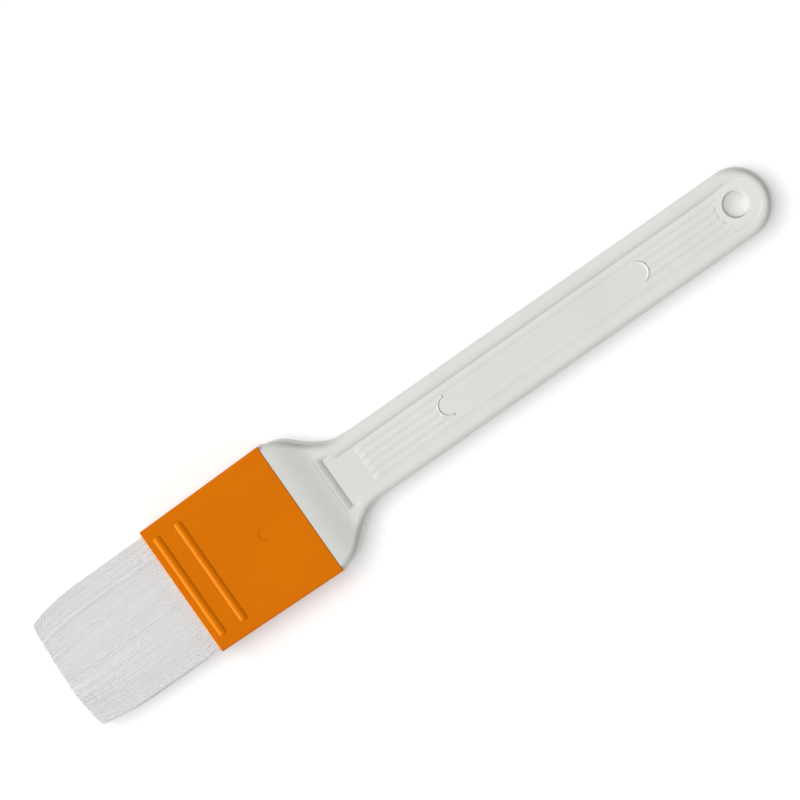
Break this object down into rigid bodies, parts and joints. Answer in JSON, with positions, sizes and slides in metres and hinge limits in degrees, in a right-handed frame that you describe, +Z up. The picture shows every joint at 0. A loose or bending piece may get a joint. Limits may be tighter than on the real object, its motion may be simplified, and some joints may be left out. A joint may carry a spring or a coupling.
{
  "type": "pastry brush",
  "caption": "Flat pastry brush with a moulded plastic handle, a ribbed grip panel and hanging hole, a tapered plastic ferrule and springy synthetic bristles.",
  "frame": {"origin": "under the middle of the brush's box, at the height of its lowest point, as it lies flat", "axes": "+X along the brush from the bristle tips to the hanging hole, +Y across its width, +Z up through its thickness"},
  "size_m": [0.2522, 0.044, 0.0132],
  "materials": {
    "handle_plastic": "white moulded polypropylene, satin",
    "ferrule_plastic": "orange moulded polypropylene, satin",
    "spacer_plastic": "plain moulded strip",
    "resin": "cast resin",
    "bristle": "translucent white nylon filament"
  },
  "bodies": {
    "brush": {"handle": "handle_plastic", "ferrule": "ferrule_plastic", "spacer_strip": "spacer_plastic", "resin_set": "resin", "upper_bristle_roots": "bristle", "lower_bristle_roots": "bristle"},
    "bristle_field": {"upper_bristles": "bristle", "lower_bristles": "bristle"}
  },
  "joints": [
    {"name": "bristle_flex", "type": "hinge", "parent": "brush", "child": "bristle_field", "pos_m": [-0.0874, 0, 0.0066], "axis": [0, 1, 0], "range_deg": [-40, 40], "stiffness_Nm_per_rad": 0.1}
  ]
}
